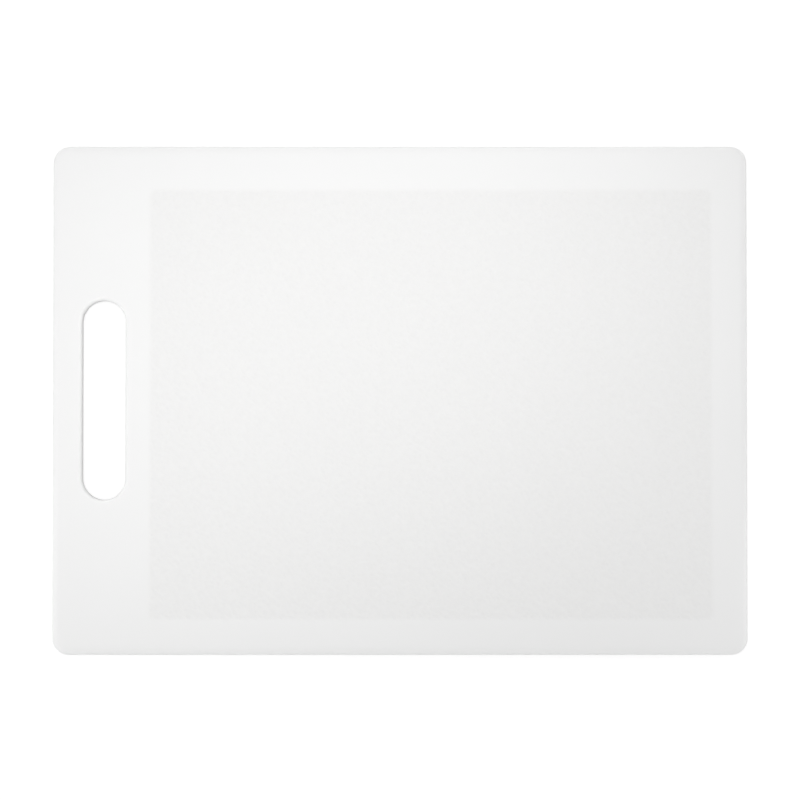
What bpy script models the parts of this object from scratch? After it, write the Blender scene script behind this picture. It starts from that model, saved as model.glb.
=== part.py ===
# A one-piece cutting board of white polyethylene, with the same two faces.
# Metres, +Z up. The origin is under the board's middle, on the face it rests on.
# +X runs along the long side, away from the hand slot.

import math

import bmesh
import bpy

# Plate
BOARD_LENGTH = 0.381
BOARD_WIDTH = 0.279
BOARD_THICKNESS = 0.008
CORNER_RADIUS = 0.0092

# Rounded edge: its reach in over each face, the upright band left at mid-height,
# and how full the curve between them is, where 2 is an ellipse
EDGE_REACH = 0.006
EDGE_BAND = 0.0006
EDGE_FULLNESS = 2.5

# Hand slot at the -X end, half-way across the width, beyond a bar for the palm
GRIP_BAR = 0.0162
SLOT_WIDTH = 0.0239
SLOT_LENGTH = 0.1092
SLOT_RIM_ROUND = 0.002

# Cutting field, sunk into both faces down a soft slope
SLOT_TO_FIELD = 0.0116
FIELD_FAR_MARGIN = 0.0181
FIELD_BACK_MARGIN = 0.0224
FIELD_FRONT_MARGIN = 0.0178
FIELD_CORNER_RADIUS = 0.0055
FIELD_SLOPE = 0.0035
FIELD_DEPTH = 0.00015

# Finish
BOARD_COLOUR = (0.88, 0.88, 0.87, 1.0)
BOARD_ROUGHNESS = 0.45

# Fineness of the rounds
CORNER_STEPS = 12
EDGE_STEPS = 9
SLOT_END_STEPS = 28
RIM_STEPS = 5
FIELD_CORNER_STEPS = 5
SLOPE_STEPS = 5
SMALLEST_BEND = 0.0002
SMOOTH_ANGLE = math.radians(30)
MERGE_DISTANCE = 0.00001

# Worked out from the sizes above
HALF_THICKNESS = BOARD_THICKNESS / 2
BOARD_LEFT = -BOARD_LENGTH / 2
BOARD_RIGHT = BOARD_LENGTH / 2
BOARD_FRONT = -BOARD_WIDTH / 2
BOARD_BACK = BOARD_WIDTH / 2
SLOT_X = BOARD_LEFT + GRIP_BAR + SLOT_WIDTH / 2
FIELD_LEFT = BOARD_LEFT + GRIP_BAR + SLOT_WIDTH + SLOT_TO_FIELD
FIELD_RIGHT = BOARD_RIGHT - FIELD_FAR_MARGIN
FIELD_FRONT = BOARD_FRONT + FIELD_FRONT_MARGIN
FIELD_BACK = BOARD_BACK - FIELD_BACK_MARGIN
QUARTER_TURN = math.pi / 2


def arc(centre, radius, start, sweep, steps):
    # Points along an arc, anticlockwise seen from above.
    angles = [start + sweep * step / steps for step in range(steps + 1)]
    return [
        (centre[0] + radius * math.cos(angle), centre[1] + radius * math.sin(angle))
        for angle in angles
    ]


def rounded_rectangle(left, right, front, back, radius, inset, steps):
    # The outline of a rectangle with round corners, drawn in all round by inset.
    bend = max(radius - inset, SMALLEST_BEND)
    low_x = left + inset + bend
    high_x = right - inset - bend
    low_y = front + inset + bend
    high_y = back - inset - bend
    centres = [(high_x, high_y), (low_x, high_y), (low_x, low_y), (high_x, low_y)]
    outline = []
    for corner, centre in enumerate(centres):
        outline += arc(centre, bend, corner * QUARTER_TURN, QUARTER_TURN, steps)
    return outline


def slot_outline(outset):
    # The hand slot's outline, two half circles and two straights, widened by outset.
    radius = SLOT_WIDTH / 2 + outset
    end_y = (SLOT_LENGTH - SLOT_WIDTH) / 2
    far_end = arc((SLOT_X, end_y), radius, 0, 2 * QUARTER_TURN, SLOT_END_STEPS)
    near_end = arc((SLOT_X, -end_y), radius, 2 * QUARTER_TURN, 2 * QUARTER_TURN, SLOT_END_STEPS)
    return far_end + near_end


def edge_stations():
    # The rounded edge from mid-height up to the face, as (inset, height) pairs.
    rise = HALF_THICKNESS - EDGE_BAND / 2
    power = 2 / EDGE_FULLNESS
    stations = [(0, 0), (0, EDGE_BAND / 2)]
    for step in range(1, EDGE_STEPS):
        angle = QUARTER_TURN * step / EDGE_STEPS
        inset = EDGE_REACH * (1 - math.cos(angle) ** power)
        height = EDGE_BAND / 2 + rise * math.sin(angle) ** power
        stations.append((inset, height))
    return stations + [(EDGE_REACH, HALF_THICKNESS)]


def rim_stations():
    # The slot's rim from the face down to mid-height, as (outset, height) pairs.
    rim = min(SLOT_RIM_ROUND, HALF_THICKNESS - EDGE_BAND / 2)
    stations = []
    for step in range(RIM_STEPS + 1):
        angle = QUARTER_TURN * step / RIM_STEPS
        outset = rim * (1 - math.sin(angle))
        height = HALF_THICKNESS - rim * (1 - math.cos(angle))
        stations.append((outset, height))
    return stations + [(0, 0)]


def slope_stations():
    # The slope into the cutting field, as (inset, height) pairs.
    stations = []
    for step in range(SLOPE_STEPS + 1):
        share = step / SLOPE_STEPS
        drop = FIELD_DEPTH * (1 - math.cos(math.pi * share)) / 2
        stations.append((FIELD_SLOPE * share, HALF_THICKNESS - drop))
    return stations


def add_ring(mesh, outline, height):
    return [mesh.verts.new((x, y, height)) for x, y in outline]


def join_rings(mesh, rings):
    # A band of faces from each ring to the next.
    for near, far in zip(rings, rings[1:]):
        for i in range(len(near)):
            j = (i + 1) % len(near)
            mesh.faces.new((near[i], near[j], far[j], far[i]))


def ring_edges(mesh, ring):
    return [mesh.edges.get((ring[i - 1], ring[i])) for i in range(len(ring))]


def upper_half():
    # The half of the board above mid-height, open below.
    mesh = bmesh.new()
    board_box = (BOARD_LEFT, BOARD_RIGHT, BOARD_FRONT, BOARD_BACK)
    field_box = (FIELD_LEFT, FIELD_RIGHT, FIELD_FRONT, FIELD_BACK)
    edge = []
    for inset, height in edge_stations():
        outline = rounded_rectangle(*board_box, CORNER_RADIUS, inset, CORNER_STEPS)
        edge.append(add_ring(mesh, outline, height))
    slot = []
    for outset, height in rim_stations():
        slot.append(add_ring(mesh, slot_outline(outset), height))
    field = []
    for inset, height in slope_stations():
        outline = rounded_rectangle(
            *field_box, FIELD_CORNER_RADIUS, inset, FIELD_CORNER_STEPS
        )
        field.append(add_ring(mesh, outline, height))
    for rings in (edge, slot, field):
        join_rings(mesh, rings)
    border = ring_edges(mesh, edge[-1]) + ring_edges(mesh, slot[0]) + ring_edges(mesh, field[0])
    bmesh.ops.triangle_fill(mesh, edges=border, normal=(0, 0, 1), use_beauty=True)
    mesh.faces.new(field[-1])
    return mesh


def plastic():
    material = bpy.data.materials.new("white_polyethylene")
    material.use_nodes = True
    shader = material.node_tree.nodes["Principled BSDF"]
    shader.inputs["Base Color"].default_value = BOARD_COLOUR
    shader.inputs["Roughness"].default_value = BOARD_ROUGHNESS
    shader.inputs["Metallic"].default_value = 0.0
    return material


def make_board():
    half = upper_half()
    mesh = bpy.data.meshes.new("board")
    half.to_mesh(mesh)
    half.free()
    mesh.shade_smooth()
    mesh.set_sharp_from_angle(angle=SMOOTH_ANGLE)
    mesh.materials.append(plastic())
    thing = bpy.data.objects.new("board", mesh)
    thing.location.z = HALF_THICKNESS
    bpy.context.collection.objects.link(thing)
    mirror = thing.modifiers.new("lower half", "MIRROR")
    mirror.use_axis = (False, False, True)
    mirror.merge_threshold = MERGE_DISTANCE


for old in list(bpy.data.objects):
    bpy.data.objects.remove(old, do_unlink=True)
make_board()
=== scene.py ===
import math

import bmesh
import bpy
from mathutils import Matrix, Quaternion, Vector


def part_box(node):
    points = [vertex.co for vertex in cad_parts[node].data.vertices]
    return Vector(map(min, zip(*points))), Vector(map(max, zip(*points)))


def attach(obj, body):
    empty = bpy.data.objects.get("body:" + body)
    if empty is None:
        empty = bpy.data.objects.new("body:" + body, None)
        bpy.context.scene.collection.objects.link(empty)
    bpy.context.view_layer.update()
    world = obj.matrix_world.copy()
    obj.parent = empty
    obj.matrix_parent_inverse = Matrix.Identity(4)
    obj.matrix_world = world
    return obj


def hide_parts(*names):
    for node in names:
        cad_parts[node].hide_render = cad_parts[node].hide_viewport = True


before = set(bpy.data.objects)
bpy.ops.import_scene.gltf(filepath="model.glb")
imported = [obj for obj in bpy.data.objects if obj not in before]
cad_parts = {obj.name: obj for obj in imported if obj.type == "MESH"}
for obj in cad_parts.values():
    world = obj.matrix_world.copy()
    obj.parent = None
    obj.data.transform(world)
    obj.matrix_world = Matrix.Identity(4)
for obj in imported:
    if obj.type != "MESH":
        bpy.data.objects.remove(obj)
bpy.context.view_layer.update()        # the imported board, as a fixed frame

millimetre = 0.001
quarterTurn = math.pi / 2
scene = bpy.context.scene
scene.view_settings.view_transform = "Standard"


# One socket of a node tree. Sums on it add Math nodes, and node() adds any other kind.
class Wire:
    def __init__(self, tree, socket=None):
        self.tree = tree
        self.socket = socket

    def node(self, kind, settings=None, sockets=None, output=0):
        made = self.tree.nodes.new(kind)
        for name, value in (settings or {}).items():
            setattr(made, name, value)
        for name, value in (sockets or {}).items():
            for one in value if isinstance(value, list) else [value]:
                if isinstance(one, Wire):
                    self.tree.links.new(one.socket, made.inputs[name])
                else:
                    made.inputs[name].default_value = one
        return Wire(self.tree, made.outputs[output]) if made.outputs else made

    def math(self, operation, *values):
        return self.node("ShaderNodeMath", {"operation": operation}, dict(enumerate(values)))

    def __add__(self, other):
        return self.math("ADD", self, other)

    def __radd__(self, other):
        return self.math("ADD", other, self)

    def __sub__(self, other):
        return self.math("SUBTRACT", self, other)

    def __rsub__(self, other):
        return self.math("SUBTRACT", other, self)

    def __mul__(self, other):
        return self.math("MULTIPLY", self, other)

    def __rmul__(self, other):
        return self.math("MULTIPLY", other, self)

    def __truediv__(self, other):
        return self.math("DIVIDE", self, other)

    def __rtruediv__(self, other):
        return self.math("DIVIDE", other, self)

    def __pow__(self, other):
        return self.math("POWER", self, other)

    def clamped(self):
        return self.node("ShaderNodeClamp", None, {"Value": self})

    def eased(self):
        return self * self * (3 - 2 * self)    # 0 to 1 with soft ends


# The board's shape in millimetres. Its length, width and thickness come from the frame.
low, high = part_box("board")
boardShape = {
    "Length": (high.x - low.x) / millimetre,
    "Width": (high.y - low.y) / millimetre,
    "Thickness": (high.z - low.z) / millimetre,
    "Corner Radius": 9.2,
    "Edge Reach": 6.0,          # how far the rounded edge comes in over each face
    "Parting Half Width": 0.3,  # of the fine line where the mould's halves met
    "Parting Height": 0.07,
    "Grip Bar": 16.2,           # from the board's end to the hand slot
    "Slot Width": 23.9,
    "Slot Length": 109.2,
    "Slot Rim": 2.0,            # radius of the slot's rims
    "Slot To Field": 11.6,
    "Far Margin": 18.1,         # from the board's other three sides to the field
    "Back Margin": 22.4,
    "Front Margin": 17.8,
    "Field Corner": 5.5,
    "Field Slope": 3.5,
    "Field Depth": 0.15,
    "Flat Lead": 0.4,           # a flat strip beside each curve, so that the flats shade flat
}
edgeFullness = 2.5              # 2 makes the edge an ellipse, and more makes it fuller
wallFade = 0.90                 # how far up the slot's rim the walls' painted shade and higher roughness fade out

# How many steps each round, slope and line has
fineness = {"corner": 20, "slotEnd": 36, "parting": 4, "edge": 22, "rim": 10, "slope": 10, "fieldCorner": 14}
weld = 0.001                    # points this near each other, in millimetres, become one
rowMatch = 0.1                  # how near a point's row has to be to the one looked for


def stretch(row, first, steps):
    return ((row - first) / steps).clamped()    # 0 before these rows, and 1 after them


# Rows from mid-height up over the outer edge: the parting line, the round, the flat lead.
def edgeProfile(size, row):
    parting = stretch(row, 0, fineness["parting"])
    swing = stretch(row, fineness["parting"], fineness["edge"]) * quarterTurn
    lead = stretch(row, fineness["parting"] + fineness["edge"], 1)
    power = 2 / edgeFullness
    across = 1 - swing.math("COSINE", swing) ** power
    up = swing.math("SINE", swing) ** power
    inset = (size["Parting Height"] * parting.eased()
             + (size["Edge Reach"] - size["Parting Height"]) * across
             + size["Flat Lead"] * lead)
    height = (size["Parting Half Width"] * parting
              + (size["Thickness"] / 2 - size["Parting Half Width"]) * up)
    return inset, height, 0 * row, 0 * row


# Rows from mid-height up the slot's wall: the parting line, the wall, the rim, the flat lead.
def slotProfile(size, row):
    parting = stretch(row, 0, fineness["parting"])
    wall = stretch(row, fineness["parting"], 1)
    swing = stretch(row, fineness["parting"] + 1, fineness["rim"]) * quarterTurn
    lead = stretch(row, fineness["parting"] + 1 + fineness["rim"], 1)
    outset = (size["Slot Rim"] * (1 - swing.math("COSINE", swing))
              + size["Flat Lead"] * lead
              - size["Parting Height"] * (1 - parting.eased()))
    height = (size["Parting Half Width"] * parting
              + (size["Thickness"] / 2 - size["Slot Rim"] - size["Parting Half Width"]) * wall
              + size["Slot Rim"] * swing.math("SINE", swing))
    # The last value marks where the slot's walls get painted shade and more roughness
    return 0 - outset, height, 0 * row, (1 - swing / (quarterTurn * wallFade)).clamped()


# Rows inwards over the field's border: a flat lead, the slope, and another flat lead.
def fieldProfile(size, row):
    slope = stretch(row, 1, fineness["slope"])
    inset = (size["Flat Lead"] * (stretch(row, 0, 1) + stretch(row, 1 + fineness["slope"], 1) - 1)
             + size["Field Slope"] * slope)
    height = size["Thickness"] / 2 - size["Field Depth"] * slope.eased()
    return inset, height, slope.eased(), 0 * row


# A band of faces round a rounded rectangle, with its rows along a profile.
def bandRound(size, start, steps, rows, profile, middle, span, radius):
    grid = start.node("GeometryNodeMeshGrid", None, {"Vertices X": 4 * (steps + 1) + 1, "Vertices Y": rows})
    index = start.node("GeometryNodeInputIndex")
    column = index.math("FLOOR", index / rows)
    row = index - column * rows
    corner = column.math("FLOOR", column / (steps + 1))
    turn = (corner + (column - corner * (steps + 1)) / steps) * quarterTurn
    outward = (corner + 0.5) * quarterTurn    # the way that the column's corner points
    inset, height, fieldShare, wallShare = profile(size, row)
    place = []
    for wave, centre, whole in zip(("COSINE", "SINE"), middle, span):
        side = outward.math("SIGN", outward.math(wave, outward))
        place.append(centre + side * (whole / 2 - radius) + turn.math(wave, turn) * (radius - inset))
    position = start.node("ShaderNodeCombineXYZ", None, dict(enumerate([*place, height])))
    band = start.node("GeometryNodeSetPosition", None, {"Geometry": grid, "Position": position})
    for name, value in (("row", row), ("fieldShare", fieldShare), ("wallShare", wallShare)):
        band = start.node("GeometryNodeStoreNamedAttribute", {"data_type": "FLOAT", "domain": "POINT"},
                          {"Geometry": band, "Name": name, "Value": value})
    return start.node("GeometryNodeMergeByDistance", None, {"Geometry": band, "Distance": weld})


# One row of a band, as a closed curve.
def rowOf(band, number):
    row = band.node("GeometryNodeInputNamedAttribute", {"data_type": "FLOAT"}, {"Name": "row"})
    near = row.math("COMPARE", row, number, rowMatch)
    return band.node("GeometryNodeMeshToCurve", None, {"Mesh": band, "Selection": near})


# A flat face inside closed curves, less the curves inside those.
def flatBetween(curves, height, share):
    start = curves[0]
    joined = start.node("GeometryNodeJoinGeometry", None, {"Geometry": curves})
    face = start.node("GeometryNodeFillCurve", {"mode": "TRIANGLES"}, {"Curve": joined})
    flat = start.node("GeometryNodeInputPosition")
    flat = flat.node("ShaderNodeVectorMath", {"operation": "MULTIPLY"}, {0: flat, 1: (1, 1, 0)})
    lift = start.node("ShaderNodeCombineXYZ", None, {"Z": height})
    level = start.node("ShaderNodeVectorMath", {"operation": "ADD"}, {0: flat, 1: lift})
    face = start.node("GeometryNodeSetPosition", None, {"Geometry": face, "Position": level})
    return start.node("GeometryNodeStoreNamedAttribute", {"data_type": "FLOAT", "domain": "POINT"},
                      {"Geometry": face, "Name": "fieldShare", "Value": share})


# The whole board, from its sizes. Only the upper half is worked out, and the lower half mirrors it.
def boardTree():
    tree = bpy.data.node_groups.new("boardFromSizes", "GeometryNodeTree")
    tree.is_modifier = True
    for name in boardShape:
        tree.interface.new_socket(name, in_out="INPUT", socket_type="NodeSocketFloat")
    tree.interface.new_socket("Plastic", in_out="INPUT", socket_type="NodeSocketMaterial")
    tree.interface.new_socket("Geometry", in_out="OUTPUT", socket_type="NodeSocketGeometry")
    given = tree.nodes.new("NodeGroupInput")
    size = {name: Wire(tree, given.outputs[name]) for name in boardShape}
    start = Wire(tree)

    # Besides its steps each band has a first row and its flat leads, and the slot's has a straight wall.
    edgeRows = fineness["parting"] + fineness["edge"] + 2
    slotRows = fineness["parting"] + fineness["rim"] + 3
    fieldRows = fineness["slope"] + 3

    slotX = size["Grip Bar"] + size["Slot Width"] / 2 - size["Length"] / 2
    fieldLeft = size["Grip Bar"] + size["Slot Width"] + size["Slot To Field"]
    fieldMiddle = ((fieldLeft - size["Far Margin"]) / 2, (size["Front Margin"] - size["Back Margin"]) / 2)
    fieldSpan = (size["Length"] - fieldLeft - size["Far Margin"],
                 size["Width"] - size["Front Margin"] - size["Back Margin"])

    edge = bandRound(size, start, fineness["corner"], edgeRows, edgeProfile,
                     (0, 0), (size["Length"], size["Width"]), size["Corner Radius"])
    slot = bandRound(size, start, fineness["slotEnd"], slotRows, slotProfile,
                     (slotX, 0), (size["Slot Width"], size["Slot Length"]), size["Slot Width"] / 2)
    field = bandRound(size, start, fineness["fieldCorner"], fieldRows, fieldProfile,
                      fieldMiddle, fieldSpan, size["Field Corner"])
    top = size["Thickness"] / 2
    border = flatBetween([rowOf(edge, edgeRows - 1), rowOf(slot, slotRows - 1), rowOf(field, 0)], top, 0.0)
    floor = flatBetween([rowOf(field, fieldRows - 1)], top - size["Field Depth"], 1.0)

    upper = start.node("GeometryNodeJoinGeometry", None, {"Geometry": [edge, slot, field, border, floor]})
    lower = start.node("GeometryNodeTransform", None, {"Geometry": upper, "Scale": (1, 1, -1)})
    lower = start.node("GeometryNodeFlipFaces", None, {"Mesh": lower})
    whole = start.node("GeometryNodeJoinGeometry", None, {"Geometry": [upper, lower]})
    whole = start.node("GeometryNodeMergeByDistance", None, {"Geometry": whole, "Distance": weld})
    whole = start.node("GeometryNodeRemoveAttribute", None, {"Geometry": whole, "Name": "row"})
    whole = start.node("GeometryNodeSetShadeSmooth", None, {"Geometry": whole})
    rise = start.node("ShaderNodeCombineXYZ", None, {"Z": top * millimetre})
    whole = start.node("GeometryNodeTransform", None,
                       {"Geometry": whole, "Translation": rise, "Scale": (millimetre,) * 3})
    whole = start.node("GeometryNodeRealizeInstances", None, {"Geometry": whole})
    whole = start.node("GeometryNodeSetMaterial", None,
                       {"Geometry": whole, "Material": Wire(tree, given.outputs["Plastic"])})
    start.node("NodeGroupOutput", None, {"Geometry": whole})
    return tree


# White polyethylene, smooth on the border and grained in the field.
# Colours are linear, lengths in millimetres.
plastic = {
    "border": (0.885, 0.885, 0.883),
    "field": (0.860, 0.859, 0.855),
    "wall": (0.825, 0.825, 0.822),   # painted shade on the slot's walls, darker where shade falls inside the slot
    "borderRoughness": 0.42,
    "fieldRoughness": 0.62,
    "wallRoughness": 0.80,
    "mottleSize": 38.0,        # of the faint clouds that a moulding has
    "mottleDetail": 3.0,
    "mottleShade": 0.012,      # how much the colour changes across them
    "mottleSheen": 0.06,       # and how much the roughness does
    "pebbleSize": 2.4,         # of the field's shallow pebbling
    "pebbleDepth": 0.22,
    # painted shade: the pebbling's hollows are darker, as shade falls in them
    "pebbleHollowShade": 0.025,
    "pebbleSheen": 0.20,
    "pebbleSoftness": 0.6,
    "grainSize": 0.9,          # of the spark-eroded grain over the pebbling
    "grainDetail": 2.0,        # as the ripple has, too
    "grainDepth": 0.09,
    # painted shade: the grain's hollows are darker, as shade falls in them
    "grainHollowShade": 0.02,
    "peelSize": 2.6,           # of the soft ripple on the smooth border
    "peelDepth": 0.012,
    "glow": 0.15,              # the share of light that goes in and wanders before it comes out
    "glowDepth": 2.5,
    "refraction": 1.5,
}
noiseMiddle = 0.5              # a noise is about as often above this as below
cellMiddle = 0.4               # and the pebbles' distances above this


def polyethylene():
    material = bpy.data.materials.new("whitePolyethylene")
    material.use_nodes = True
    tree = material.node_tree
    tree.nodes.clear()
    start = Wire(tree)
    place = start.node("ShaderNodeTexCoord", output="Object")
    share = start.node("ShaderNodeAttribute", {"attribute_name": "fieldShare"}, output="Fac")
    # where the slot's walls get painted shade and more roughness
    wall = start.node("ShaderNodeAttribute", {"attribute_name": "wallShare"}, output="Fac")

    def clouds(size, detail):
        noise = start.node("ShaderNodeTexNoise", None,
                           {"Vector": place, "Scale": 1 / (size * millimetre), "Detail": detail})
        return noise - noiseMiddle

    cells = start.node("ShaderNodeTexVoronoi", {"feature": "SMOOTH_F1"},
                       {"Vector": place, "Scale": 1 / (plastic["pebbleSize"] * millimetre),
                        "Smoothness": plastic["pebbleSoftness"]})
    pebble = cells - cellMiddle
    grain = clouds(plastic["grainSize"], plastic["grainDetail"])
    peel = clouds(plastic["peelSize"], plastic["grainDetail"])
    mottle = clouds(plastic["mottleSize"], plastic["mottleDetail"])

    tint = start.node("ShaderNodeMix", {"data_type": "RGBA"},
                      {"Factor": share, 6: (*plastic["border"], 1), 7: (*plastic["field"], 1)}, output=2)
    # painted shade on the slot's walls
    tint = start.node("ShaderNodeMix", {"data_type": "RGBA"},
                      {"Factor": wall, 6: tint, 7: (*plastic["wall"], 1)}, output=2)
    # mottle varies the colour at random; pebble and grain add painted shade, darker in their hollows
    shade = (1 + mottle * plastic["mottleShade"]
             + share * (pebble * plastic["pebbleHollowShade"] + grain * plastic["grainHollowShade"]))
    tint = start.node("ShaderNodeVectorMath", {"operation": "SCALE"}, {0: tint, "Scale": shade})
    roughness = (plastic["borderRoughness"]
                 + share * (plastic["fieldRoughness"] - plastic["borderRoughness"])
                 + wall * (plastic["wallRoughness"] - plastic["borderRoughness"])
                 + mottle * plastic["mottleSheen"]
                 + share * pebble * plastic["pebbleSheen"])
    relief = (share * (pebble * plastic["pebbleDepth"] + grain * plastic["grainDepth"])
              + (1 - share) * peel * plastic["peelDepth"])
    bump = start.node("ShaderNodeBump", None, {"Height": relief, "Distance": millimetre})
    surface = start.node("ShaderNodeBsdfPrincipled", {"subsurface_method": "RANDOM_WALK"}, {
        "Base Color": tint,
        "Roughness": roughness,
        "Normal": bump,
        "IOR": plastic["refraction"],
        "Subsurface Weight": plastic["glow"],
        "Subsurface Radius": (1.0, 1.0, 1.0),
        "Subsurface Scale": plastic["glowDepth"] * millimetre,
    })
    start.node("ShaderNodeOutputMaterial", None, {"Surface": surface})
    return material


def makeBoard():
    board = bpy.data.objects.new("cuttingBoard", bpy.data.meshes.new("cuttingBoard"))
    scene.collection.objects.link(board)
    tree = boardTree()
    finish = polyethylene()
    sizes = board.modifiers.new("boardFromSizes", "NODES")
    sizes.node_group = tree
    for socket in tree.interface.items_tree:
        if socket.name in boardShape:
            sizes[socket.identifier] = float(boardShape[socket.name])
        elif socket.name == "Plastic":
            sizes[socket.identifier] = finish
    made = bpy.data.meshes.new_from_object(board.evaluated_get(bpy.context.evaluated_depsgraph_get()))
    board.modifiers.clear()
    made.materials.clear()     # the empty slot that came before the plastic's
    made.materials.append(finish)
    board.data = made
    shell = bmesh.new()
    shell.from_mesh(made)
    bmesh.ops.recalc_face_normals(shell, faces=shell.faces)
    shell.to_mesh(made)
    shell.free()
    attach(board, "root")
    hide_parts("board")
    print("board:", len(made.vertices), "points,", len(made.polygons), "faces")


makeBoard()


# The floor and the light behind everything. A strength of 1 shows as white.
studio = {
    "floorSide": 6.0,
    "floorGlow": 0.65,        # of the floor as the camera sees it, before the light that falls on it
    "floorShare": 0.50,       # how much of the light that falls on it shows, and with it the shadow
    "floorBounce": 0.40,      # how much of that light goes on to the board
    "tentTop": 0.618,         # the even light of a white tent round the board
    "tentSide": 2.08,         # its brighter strip just above the floor
    "stripFull": 0.12,        # the sine of the height where that strip starts to fade
    "stripEnd": 0.36,         # and where it has faded out
}
white = (1, 1, 1, 1)


# 1 for the camera and for what shines or lets light through, 0 for the light that falls on things.
def seen(start):
    eye = start.node("ShaderNodeLightPath", output="Is Camera Ray")
    for other in ("Is Glossy Ray", "Is Transmission Ray"):
        eye = eye.math("MAXIMUM", eye, start.node("ShaderNodeLightPath", output=other))
    return eye


def makeFloor():
    side = studio["floorSide"] / 2
    mesh = bpy.data.meshes.new("floor")
    corners = [(-side, -side, 0), (side, -side, 0), (side, side, 0), (-side, side, 0)]
    mesh.from_pydata(corners, [], [(0, 1, 2, 3)])
    floor = bpy.data.objects.new("floor", mesh)
    scene.collection.objects.link(floor)
    material = bpy.data.materials.new("paleFloor")
    material.use_nodes = True
    material.node_tree.nodes.clear()
    start = Wire(material.node_tree)
    bounce = start.node("ShaderNodeBsdfDiffuse", None, {"Color": (studio["floorBounce"],) * 3 + (1,)})
    shown = start.node("ShaderNodeBsdfDiffuse", None, {"Color": (studio["floorShare"],) * 3 + (1,)})
    glow = start.node("ShaderNodeEmission", None, {"Color": white, "Strength": studio["floorGlow"]})
    shown = start.node("ShaderNodeAddShader", None, {0: shown, 1: glow})
    surface = start.node("ShaderNodeMixShader", None, {0: seen(start), 1: bounce, 2: shown})
    start.node("ShaderNodeOutputMaterial", None, {"Surface": surface})
    mesh.materials.append(material)


def makeWorld():
    world = bpy.data.worlds.new("studio")
    world.use_nodes = True
    world.node_tree.nodes.clear()
    start = Wire(world.node_tree)
    way = start.node("ShaderNodeTexCoord", output="Generated")
    height = start.node("ShaderNodeSeparateXYZ", None, {0: way}, output="Z")
    strip = ((studio["stripEnd"] - height) / (studio["stripEnd"] - studio["stripFull"])).clamped()
    tent = studio["tentTop"] + (studio["tentSide"] - studio["tentTop"]) * strip.eased()
    eye = seen(start)
    strength = eye + (1 - eye) * tent
    light = start.node("ShaderNodeBackground", None, {"Color": white, "Strength": strength})
    start.node("ShaderNodeOutputWorld", None, {"Surface": light})
    scene.world = world


# Lamps: where each stands and points, its size in metres, its turn in degrees and its power in watts.
# The two cards are small and stand near, and lift the front of the board's left and right borders.
lamps = {
    "softbox": {"at": (-0.037, 0.083, 0.238), "to": (-0.037, 0.083, 0.0),
                "size": (0.508, 0.355), "turn": 20, "power": 0.370},
    "leftWindow": {"at": (-1.93, 0.0, 0.52), "to": (0.0, 0.0, 0.0),
                   "size": (1.0, 1.0), "turn": 0, "power": 0.7},
    "leftCard": {"at": (-0.40, -0.12, 0.15), "to": (0.0, -0.05, 0.0),
                 "size": (0.16, 0.16), "turn": 0, "power": 0.076},
    "rightCard": {"at": (0.28, -0.12, 0.09), "to": (0.17, -0.10, 0.0),
                  "size": (0.06, 0.06), "turn": 0, "power": 0.0145},
}


def facing(at, to):
    return (Vector(to) - Vector(at)).to_track_quat("-Z", "Y")


def makeLamps():
    for name, lamp in lamps.items():
        data = bpy.data.lights.new(name, "AREA")
        data.shape = "RECTANGLE"
        data.size, data.size_y = lamp["size"]
        data.energy = lamp["power"]
        thing = bpy.data.objects.new(name, data)
        thing.location = lamp["at"]
        turn = Quaternion((0, 0, 1), math.radians(lamp["turn"]))
        thing.rotation_euler = (facing(lamp["at"], lamp["to"]) @ turn).to_euler()
        thing.visible_camera = False
        scene.collection.objects.link(thing)


# The camera looks straight down, as the photograph does, from very slightly in front of the middle.
# Its places are in metres and its lens in millimetres.
view = {"at": (0.0, -0.012, 0.9), "to": (0.0, 0.0002, 0.004), "lens": 73.41}


def makeCamera():
    data = bpy.data.cameras.new("camera")
    data.lens = view["lens"]
    camera = bpy.data.objects.new("camera", data)
    camera.location = view["at"]
    camera.rotation_euler = facing(view["at"], view["to"]).to_euler()
    scene.collection.objects.link(camera)
    scene.camera = camera


makeFloor()
makeWorld()
makeLamps()
makeCamera()
print("stage: floor, world,", len(lamps), "lamps and camera")
